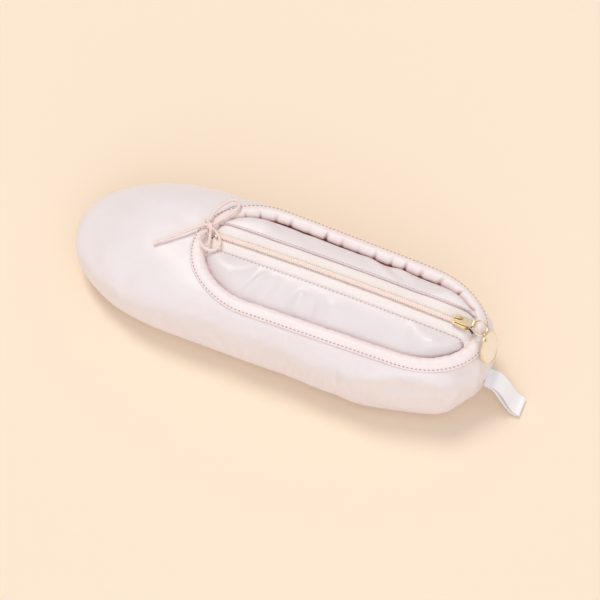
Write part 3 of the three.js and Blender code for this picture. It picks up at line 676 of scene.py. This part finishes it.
def sewing_thread(name, colour, dark):
    """Spun polyester thread, two plies twisted: matt, a shade darker than the cloth."""
    made, tree, shader = finish_of(name, Roughness=0.65, Sheen_Weight=0.2)
    place = node(tree, "TexCoord").outputs["Object"]
    two_tones(tree, shader, place, colour, dark, 400)
    ply = node(tree, "TexNoise", {"Scale": 1 / (0.3 * mm)}, Vector=place)
    bumps(tree, shader, [(ply.outputs["Fac"], 0.0001, 0.6)])
    return made


pink_thread = sewing_thread("spun_polyester_thread", "C69C94", "B5867E")
seam_line = casing_cut[casing_seam]
stitches("casing_stitches", np.vstack([seam_line, seam_line[:2]]), "pouch", pink_thread,
         "binding", pitch=2.3, length=1.2, radius=0.25, lift=0.3)


# The zip's panels: two pieces of blush satin sewn under the casing, rising to a folded edge on each
# side of the zip.
zip_y, fold_half, crease_height = 4.2, 9, 44.1
zip_mid_x = (throat_shape["toe_x"] + throat_shape["heel_x"]) / 2
zip_radius, zip_rise, crease_inset = 1100, 7.1, 4.1
zip_top = rim_height + zip_rise
crease_shape = drawn_in(throat_shape, crease_inset)
crease_toe, crease_heel, crease_arc = (crease_shape[key] for key in ("toe_x", "heel_x", "toe_arc"))
crease_toe_half, crease_heel_half = crease_shape["toe_half"], crease_shape["heel_half"]


def end_share(x):
    """How far x has gone into the crease's rounded ends, from 0 to 1."""
    return np.maximum(0, np.maximum((crease_toe + crease_arc - x) / crease_arc,
                                    (x - crease_heel + crease_arc) / crease_arc))


def side_half(x):
    """Half the width inside the crease where its sides are straight."""
    share = np.clip((x - crease_toe - crease_arc) / (crease_heel - crease_toe - 2 * crease_arc),
                    0, 1)
    return crease_toe_half + (crease_heel_half - crease_toe_half) * share


def crease_half(x, tuck=0.0):
    """Half the width inside the crease, or inside a line that far under the casing from it."""
    grown = crease_arc / (crease_arc + tuck)
    return (side_half(x) + tuck) * np.sqrt(np.clip(1 - (end_share(x) * grown) ** 2, 0, 1))


def zip_height(x):
    """The zip's own line, an arc of a large circle."""
    return zip_top - zip_radius + np.sqrt(zip_radius ** 2 - (x - zip_mid_x) ** 2)


def panel_height(x, y):
    """The crowned surface that the panels, the tapes and the coils follow."""
    along = end_share(x) ** 2
    across = ((y - throat_mid_y) / side_half(x)) ** 2
    from_zip = np.clip((np.abs(y - zip_y) - 2) / side_half(x), 0, 1) ** 2
    spread = np.minimum(1, along + np.minimum(across, from_zip * 1.25 + across * 0.1))
    power = 1.15 + 12 * along / np.maximum(1e-6, along + across)
    return crease_height + (zip_height(x) - crease_height) * (1 - spread ** power)


# The zip's sides would part between these places, with an eased run at both ends, each turning on a
# crease at the hinge's distance from the throat's middle line; the script only works out each
# point's share of that swing.
opening_toe, opening_heel, opening_ease = -10, 108, 26


def opening_share(points, side):
    """How much of a zip side's swing each point takes: none at the crease and beyond both ends of
    the run that the slider opens, all of it beside the coil."""
    def ease(t):
        t = np.clip(t, 0, 1)
        return t * t * (3 - 2 * t)
    x, y = points[:, 0], points[:, 1]
    reach = np.maximum(4, side * (throat_mid_y - zip_y) + crease_half(x))
    across = 1 - np.clip(np.abs(y - zip_y) / reach, 0, 1)
    along = ease((x - opening_toe) / opening_ease) * ease((opening_heel - x) / opening_ease)
    return along * np.clip(across * 1.5, 0, 1)


def open_with_zip(piece, side):
    """Bakes a piece's placement into its mesh and works out how much of its zip side's swing each
    point takes; that share is not applied.
    """
    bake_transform(piece)
    points = np.array([v.co for v in piece.data.vertices]) / mm
    share = opening_share(points, side).astype(np.float32)
    return piece


# Side -1 is the near panel and side 1 the far one. The groove is where a panel dives under the
# casing, and each row of the fold's turn has its drop and how far it reaches past the fold. The
# groove, the fold's top and the rows of its turn take a painted shade by these shade values.
panel_stations = np.linspace(0, 1, 131)
across_steps = np.array([-0.06, 0, 0.05, 0.1, 0.17, 0.25, 0.34, 0.43, 0.52, 0.61, 0.7, 0.78, 0.85,
                         0.9, 0.94, 0.97, 0.99, 1])
panel_pillow, panel_tuck, tuck_drop, panel_unevenness, panel_thick = 0.5, 2.4, 2.5, 0.7, 0.5
groove_depth = {-1: 0.8, 1: 2.2}
groove_width = {-1: 1.2, 1: 0.75}
groove_shade = {-1: 0.2, 1: 1}
fold_turn = [(0.35, -0.35), (0.8, -0.3), (1.05, 0.3), (1.1, 1.5)]
fold_turn_shade, fold_top_shade = [0.35, 0.5, 0.6, 0.6], 0.25
panel_folds = {
    -1: [((-14, -27), (-2, -7), 2.4, 2.4), ((-6, -27), (6, -8), 2.6, -1.9),
         ((16, -28), (20, -10), 3, 2.2), ((27, -28), (27, -13), 2.4, -2.1),
         ((36, -28), (38, -9), 4, 1), ((84, -24), (100, -10), 3, 1),
         ((92, -24), (104, -12), 2.2, -1.2)],
    1: [((38, 28), (62, 15), 2.6, 1.3), ((46, 29), (68, 16), 2.8, -1.4),
        ((58, 28), (74, 18), 3, 1.1), ((0, 29), (14, 14), 3.4, -0.9),
        ((-22, 24), (-4, 14), 3, 0.9)],
}


def panel_rows(side):
    """A panel's rows from under the casing up to the fold, over it and back beneath, and the
    painted shade that each point takes in the groove, on the fold's top and round its turn."""
    fold_y = zip_y + side * fold_half
    reach = abs(fold_y - throat_mid_y) - 0.6
    grown_arc = crease_arc + panel_tuck
    toe_cut = grown_arc * math.sqrt(1 - (reach / (crease_toe_half + panel_tuck)) ** 2)
    heel_cut = grown_arc * math.sqrt(1 - (reach / (crease_heel_half + panel_tuck)) ** 2)
    x = (crease_toe + crease_arc - toe_cut) * (1 - panel_stations) + (
        crease_heel - crease_arc + heel_cut) * panel_stations
    outer = throat_mid_y + side * np.maximum(crease_half(x, panel_tuck), reach + 0.3)
    rows = []
    for step in across_steps:
        y = outer + (fold_y - outer) * step
        inside = throat_mid_y + (y - throat_mid_y) * (1 - 0.02 * side if step < 0 else 1)
        z = panel_height(x, np.clip(inside, throat_mid_y - crease_half(x),
                                    throat_mid_y + crease_half(x)))
        z = z + panel_pillow * math.sin(math.pi * max(step, 0)) ** 0.8
        rows.append(np.column_stack([x, y, z - (tuck_drop if step < 0 else 0)]))
    rows = np.array(rows)
    folds = ripple(rows, 26, 2.2 * side, (1.4, 0.6, 1)) * panel_unevenness
    for fold in panel_folds[side]:
        folds += ridge(rows, *fold)
    edge = np.clip(across_steps * 5, 0, 1) * np.clip((1 - across_steps) * 2.6, 0.06, 1)
    rows[..., 2] += folds * edge[:, None]
    from_casing = np.abs(rows[..., 1] - throat_mid_y) - crease_half(x)[None, :]
    groove = np.exp(-(np.minimum(from_casing + 0.1, 0) / groove_width[side]) ** 2)
    rows[..., 2] -= groove_depth[side] * groove * (across_steps < 0.5)[:, None]
    under = []
    for drop, past_fold in fold_turn:
        row = rows[-1].copy()
        row[:, 1] += side * past_fold
        row[:, 2] -= drop
        under.append(row)
    shade_depth = np.vstack([groove_shade[side] * groove * (across_steps < 0.5)[:, None],
                         np.tile(np.array(fold_turn_shade)[:, None], (1, len(x)))])
    shade_depth[len(across_steps) - 1] = fold_top_shade
    return np.concatenate([rows, under]), shade_depth


# The near panel is fused to a backing, which stiffens it and gives it a glossier face. Its satin is
# also a darker copy, and the far panel takes the upper's lighter satin: lit and shaded copies of
# one cloth, painted light that lightens the far panel.
shaded_panel_satin = satin_weave("blush_satin_shaded_copy", "EADEDC", "E1D3D1", roughness=0.34)
for side, name in ((-1, "near"), (1, "far")):
    rows, shade_depth = panel_rows(side)
    panel = skin(f"satin_panel_{name}", rows if side < 0 else rows[::-1])
    paint_crease_shade(panel, shade_depth if side < 0 else shade_depth[::-1])
    faced = panel.modifiers.new("facing_thickness", "SOLIDIFY")
    faced.thickness = panel_thick * mm
    cloth = shaded_panel_satin if side < 0 else blush_satin
    place_piece(panel, None, cloth, "satin", f"zip_panel_{name}")
    open_with_zip(panel, side)
    seam = rows[len(across_steps) - 3].copy()
    seam[:, 2] += 0.05
    length, radius = (1.4, 0.15) if side < 0 else (2.1, 0.1)
    line = stitches(f"panel_stitches_{name}", seam[3:-3], None, pink_thread, "satin",
                    pitch=2.3, length=length, radius=radius, lift=0.1)
    open_with_zip(line, side)


# The zip: two woven polyester tapes, each with a coil of nylon monofilament sewn to its edge
# round a core cord. The coils' turns mesh along the middle and part at the slider's mouth.
tape_depth, tape_gap, tape_end_height, tape_thick = 1.25, 0.65, 45.6, 0.5
tape_sections = [(0, 0), (0.06, 0), (0.2, 0), (0.4, 0.05), (0.6, 0.05), (0.8, 0), (1, 0),
                 (1, tape_thick), (0.5, tape_thick), (0, tape_thick)]
coil_pitch, coil_reach, coil_thick, filament = 1.3, 1.75, 1.6, 0.44
coil_toe, coil_heel, coil_steps = -37.9, 108.1, 14
tape_toe, tape_heel = crease_toe - 1.6, crease_heel + 1.9
seam_out, seam_spread = 2.3, 0.9
coil_middle, coil_rise, coil_lean = 0.62, 1.15, 0.12
core_radius, core_rise = 0.62, 1.2
mouth_x, mouth_length, mouth_spread = 102.3, 3, 0.86


def twill_tape(name):
    """Woven polyester zip tape: matt, with fine diagonal ribs 0.9 mm apart, which is about twice
    their real pitch, so that they show."""
    made, tree, shader = finish_of(name, Roughness=0.7, Sheen_Weight=0.2)
    place = node(tree, "TexCoord").outputs["Object"]
    two_tones(tree, shader, place, "F6EBE6", "F1E2DB", 60)
    cut = node(tree, "UVMap", {"uv_map": "cut"}).outputs["UV"]
    ribs = node(tree, "TexWave", {"Scale": 0.16 / (0.9 * mm), "bands_direction": "DIAGONAL"},
                Vector=cut)
    bumps(tree, shader, [(ribs.outputs["Fac"], 0.00015, 0.6)])
    return made


def drawn_nylon(name):
    """Extruded and drawn nylon monofilament: smooth, slightly translucent and evenly dyed."""
    made, tree, shader = finish_of(name, Roughness=0.3, IOR=1.53, Subsurface_Weight=0.15,
                                   Subsurface_Scale=0.001)
    place = node(tree, "TexCoord").outputs["Object"]
    two_tones(tree, shader, place, "FBE6DB", "F7DBCD", 120)
    drawn = node(tree, "TexNoise", {"Scale": 1 / (0.5 * mm)}, Vector=place)
    bumps(tree, shader, [(drawn.outputs["Fac"], 0.00004, 0.4)])
    return made


zip_tape = twill_tape("woven_polyester_tape")
nylon = drawn_nylon("nylon_monofilament")
tape_thread = sewing_thread("peach_polyester_thread", "F8E1D6", "F1D3C6")


def mouth_share(x):
    """How far the coils have parted inside the slider's mouth."""
    return np.clip((x - mouth_x) / mouth_length, 0, 1)


for side, name in ((-1, "near"), (1, "far")):
    x = np.linspace(tape_toe, tape_heel, 150)
    widest = crease_half(x, panel_tuck) - side * (zip_y - throat_mid_y)
    widest = np.minimum(fold_half + 3, np.maximum(1.3, widest))
    rows = []
    for share, drop in tape_sections:
        y = zip_y + side * (tape_gap + (widest - tape_gap) * share)
        z = np.maximum(panel_height(x, y) - tape_depth, tape_end_height) - drop
        if drop < tape_thick:
            z += 0.12 * np.sin(x / 7 + side) * math.sin(math.pi * share)
        rows.append(np.column_stack([x, y, z]))
    rows = np.transpose(np.array(rows), (1, 0, 2))
    tape = skin(f"zip_tape_{name}_woven", rows if side > 0 else rows[:, ::-1], closed=True,
                capped=True)
    place_piece(tape, None, zip_tape, "tape", f"zip_tape_{name}")
    open_with_zip(tape, side)
    turns = int((coil_heel - coil_toe) / coil_pitch)
    t = np.arange(turns * coil_steps) / coil_steps
    x = coil_toe + (t + (0.5 if side > 0 else 0)) * coil_pitch
    x = x[x < coil_heel]
    t = t[:len(x)]
    turning = 2 * math.pi * t
    y = zip_y + side * (mouth_spread * mouth_share(x) + coil_middle
                        - coil_reach / 2 * np.cos(turning))
    z = panel_height(x, np.full(len(x), zip_y)) - tape_depth + coil_rise
    z = z + (coil_thick / 2 - filament) * np.sin(turning)
    x = x + coil_lean * np.cos(turning)
    coil = skin(f"zip_coil_{name}_nylon", tube_rows(np.column_stack([x, y, z]), filament, 7),
                closed=True, capped=True)
    place_piece(coil, None, nylon, "coil", f"zip_coil_{name}")
    open_with_zip(coil, side)
    core_x = np.linspace(coil_toe, coil_heel, 120)
    core_y = zip_y + side * (mouth_spread * mouth_share(core_x) + coil_middle)
    core_z = panel_height(core_x, np.full(len(core_x), zip_y)) - tape_depth + core_rise
    core_line = np.column_stack([core_x, core_y, core_z])
    core = skin(f"zip_core_{name}_cord", tube_rows(core_line, core_radius, 8), closed=True,
                capped=True)
    place_piece(core, None, tape_thread, "coil")
    open_with_zip(core, side)
    seam_x = np.linspace(coil_toe, coil_heel - 1, 200)
    seam_y = zip_y + side * (seam_out + seam_spread * mouth_share(seam_x))
    seam = np.column_stack([seam_x, seam_y, panel_height(seam_x, seam_y) - tape_depth + 0.05])
    line = stitches(f"coil_stitches_{name}", seam, None, tape_thread, "tape", pitch=1.5,
                    length=1.2, radius=0.14, lift=0.1)
    open_with_zip(line, side)


# The zip's metal: die-cast zinc, polished and plated light gold, and stamped stops of the same
# finish. The slider body and its pull keep their cast shapes, with edges rounded by tumbling.
def plated_gold(name, tones, roughness):
    """Gold plating over polished metal: its gloss is soft, with faint rubbing marks and a slightly
    uneven surface where it was cast or stamped."""
    made, tree, shader = finish_of(name, Metallic=1, Roughness=roughness)
    place = node(tree, "TexCoord").outputs["Object"]
    two_tones(tree, shader, place, *tones, 250)
    rubbed = node(tree, "TexNoise", {"Scale": 1 / (0.4 * mm), "Detail": 3}, Vector=place)
    cast = node(tree, "TexNoise", {"Scale": 1 / (2.5 * mm), "Detail": 1}, Vector=place)
    bumps(tree, shader, [(cast.outputs["Fac"], 0.00012, 0.3),
                         (rubbed.outputs["Fac"], 0.00001, 0.3)])
    return made


light_gold = plated_gold("light_gold_plated_zinc", ("FAE9CC", "EFD6AC"), 0.27)
tumbled_edge = 0.28
for name in ("slider_body", "pull_tab"):
    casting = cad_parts[name]
    casting.data.materials.clear()
    casting.data.materials.append(light_gold)
    tumbled = casting.modifiers.new("tumbled_edges", "BEVEL")
    tumbled.width, tumbled.segments = tumbled_edge * mm, 3
    tumbled.angle_limit = math.radians(35)
    casting.data.polygons.foreach_set("use_smooth", [True] * len(casting.data.polygons))


def stamped_stop(name, centre, size, body, node_name):
    """A stamped metal clip, closed round the coil or both tapes, with rounded edges."""
    sections = [(-1, 0.55), (-0.92, 0.85), (-0.7, 1), (0.7, 1), (0.92, 0.85), (1, 0.55)]
    turns = np.linspace(0, 2 * math.pi, 24, endpoint=False)
    across, upward = (np.sign(wave) * np.abs(wave) ** 0.5
                      for wave in (np.cos(turns), np.sin(turns)))
    rows = []
    for along, scale in sections:
        y, z = across * size[1] / 2 * scale, upward * size[2] / 2 * scale
        rows.append(np.column_stack([np.full(len(turns), along * size[0] / 2), y, z]) + centre)
    return place_piece(skin(name, rows, closed=True, capped=True), body, light_gold, "gold",
                       node_name)


top_stop_size, bottom_stop_size = (1.4, 2.2, 1.9), (1.6, 4.2, 1.8)
for side, name in ((-1, "near"), (1, "far")):
    low, high = (np.array(c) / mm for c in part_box(f"zip_top_stop_{name}"))
    stop = stamped_stop(f"top_stop_{name}_clip", (low + high) / 2, top_stop_size, None,
                        f"zip_top_stop_{name}")
    open_with_zip(stop, side)
low, high = (np.array(c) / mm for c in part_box("zip_bottom_stop"))
stamped_stop("bottom_stop_clip", (low + high) / 2, bottom_stop_size, "pouch", "zip_bottom_stop")


# The jump ring on the pull and the smaller link on the charm: gold-plated wire, bent round with
# its ends butted.
def wire_ring(name, middle, one, other, radius, wire, body, node_name):
    """A closed wire ring in the plane of two directions, with a fine slit where its ends meet."""
    turns = np.linspace(0.02, 2 * math.pi - 0.02, 73)
    line = np.array([middle + radius * (math.cos(t) * one + math.sin(t) * other) for t in turns])
    normal = np.cross(one, other)
    spokes = np.linspace(0, 2 * math.pi, 14, endpoint=False)
    rows = [[p + wire * (math.cos(s) * (p - middle) / radius + math.sin(s) * normal)
             for s in spokes] for p in line]
    return place_piece(skin(name, rows, closed=True, capped=True), body, light_gold, "gold",
                       node_name)


ring_radius, ring_wire, link_radius, link_wire = 4.1, 0.45, 2.2, 0.35
pull_eye = np.array([111.29, 4.2, 54.3])
sideways = np.array([0.0, 1.0, 0.0])
droop = np.array([0.9613, 0, -0.2756])
wire_ring("jump_ring_wire", pull_eye + ring_radius * droop, -droop, sideways, ring_radius,
          ring_wire, "ring", "jump_ring")
ring_side = np.array([118.34, 1.68, 52.27])
outwards = np.array([0.788, -0.6157, 0])
upright = np.array([0.0, 0.0, 1.0])
link_hang = 0.8485
link_middle = ring_side + link_hang * (outwards - upright)
wire_ring("charm_link_wire", link_middle, outwards, upright, link_radius, link_wire, "link",
          "charm_link")


# The charm: a plain disc stamped from brass sheet and plated pale gold. Its edge is rolled to a
# bead that is polished brighter than the face.
bead_spoke, bead_across, bead_thick, bead_sides = 8.65, 0.42, 0.75, 14
pale_gold = plated_gold("pale_gold_plated_brass", ("FFFCF6", "FCF6EA"), 0.5)
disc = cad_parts["charm_disc"]
disc.data.materials.clear()
disc.data.materials.append(pale_gold)
charm_down = np.array([0.4224, -0.0147, -0.9063])
charm_across = np.array([0.0349, 0.9994, 0])
link_foot = np.array([119.87, 0.48, 49.52])
hole_to_middle = 6.7
charm_middle = link_foot + hole_to_middle * charm_down
facing = np.cross(charm_down, charm_across)
bead_turns = np.linspace(0, 2 * math.pi, bead_sides, endpoint=False)
rim_rows = []
for t in np.linspace(0, 2 * math.pi, 96, endpoint=False):
    spoke = math.cos(t) * charm_down + math.sin(t) * charm_across
    rim_rows.append([charm_middle + spoke * (bead_spoke + bead_across * math.cos(s))
                     + facing * bead_thick * math.sin(s) for s in bead_turns])
rim = join_ends(skin("charm_rolled_edge", rim_rows, closed=True), bead_sides)
place_piece(rim, "charm", light_gold, "gold")


# The ribbon loop: 12 mm double-faced satin ribbon, folded in half and sewn into the heel's seam,
# with a firm woven edge on both sides.
ribbon_width, ribbon_thick, woven_edge = 12, 0.35, 0.12
ribbon_root = np.array([127.2, -4, 20])
ribbon_upper = [(-1.6, 0.9), (0, 0), (4, -0.4), (8.4, -3.4), (12, -8.2), (15.2, -13.2),
                (18.6, -16.8), (20.8, -17.6)]
ribbon_lower = [(21.6, -18.3), (20.6, -18.9), (17.6, -18.7), (13.8, -15.4), (10.2, -10.8),
                (6.8, -6), (3.6, -2.6), (0, -1.7), (-1.6, -1)]
ribbon_line = smooth_line([(x, 0, z) for x, z in ribbon_upper + ribbon_lower], 110) + ribbon_root
ribbon_rows = []
for share in np.linspace(-1, 1, 15):
    row = ribbon_line.copy()
    down = np.clip((ribbon_root[2] - row[:, 2]) / 18, 0, 1)
    row[:, 1] += share * ribbon_width / 2 * (0.9 + 0.1 * down) - 1.2 * down * share ** 2
    row[:, 2] += 0.5 * np.cos(2.4 * share) * np.sin(math.pi * down)
    row[:, 2] += woven_edge * (abs(share) > 0.97)
    ribbon_rows.append(row)
ribbon_satin = satin_weave("double_faced_satin_ribbon", "FBF5F4", "F5EDEC", roughness=0.4,
                           thread=0.45)
ribbon = skin("heel_ribbon_loop", ribbon_rows)
thick = ribbon.modifiers.new("ribbon_thickness", "SOLIDIFY")
thick.thickness, thick.offset = ribbon_thick * mm, 0
place_piece(ribbon, None, ribbon_satin, "ribbon", "heel_ribbon")
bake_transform(ribbon)


# The floor and the light: a warm paper sheet, one large soft light from the far toe side, a broad
# cool fill from the heel's near side and an even white room. The sheet lies a hair under the sole.
floor_half, floor_height = 4, -0.0002
floor_mesh = bpy.data.meshes.new("paper_floor")
floor_mesh.from_pydata([(x * floor_half, y * floor_half, floor_height)
                        for x, y in ((-1, -1), (1, -1), (1, 1), (-1, 1))], [], [(0, 1, 2, 3)])
floor = bpy.data.objects.new("paper_floor", floor_mesh)
bpy.context.scene.collection.objects.link(floor)
paper, tree, shader = finish_of("warm_matt_paper", Roughness=0.95, Specular_IOR_Level=0.1)
shader.inputs["Base Color"].default_value = linear("F6E0C8")
floor.data.materials.append(paper)

room = bpy.data.worlds.new("room")
room.use_nodes = True
bpy.context.scene.world = room
room_tree = room.node_tree
sky = node(room_tree, "TexCoord").outputs["Generated"]
height = node(room_tree, "SeparateXYZ", Vector=sky).outputs["Z"]
walls = node(room_tree, "ValToRGB", Fac=height)
for stop, (at, grey) in zip([*walls.color_ramp.elements, walls.color_ramp.elements.new(0.45),
                             walls.color_ramp.elements.new(0.75)],
                            [(0, 0.8), (1, 0.9), (0.3, 1.0), (0.7, 1.0)]):
    stop.position, stop.color = at, (grey, grey * 0.995, grey * 0.985, 1)
walls.color_ramp.interpolation = "EASE"
backdrop = room_tree.nodes["Background"]
room_tree.links.new(walls.outputs["Color"], backdrop.inputs["Color"])
backdrop.inputs["Strength"].default_value = 0.57
for name, strength, spread, towards, colour in (
        ("key_softbox", 1.12, 20, (-0.34, 0.26, 0.9), "FFFFFF"),
        ("front_fill", 1.25, 70, (0.4, -0.72, 0.57), "E6F1FF")):
    light = bpy.data.lights.new(name, "SUN")
    light.energy, light.angle = strength, math.radians(spread)
    light.color = linear(colour)[:3]
    softbox = bpy.data.objects.new(name, light)
    bpy.context.scene.collection.objects.link(softbox)
    softbox.rotation_mode = "QUATERNION"
    softbox.rotation_quaternion = Vector(towards).to_track_quat("Z", "Y")
bpy.context.scene.view_settings.view_transform = "Standard"
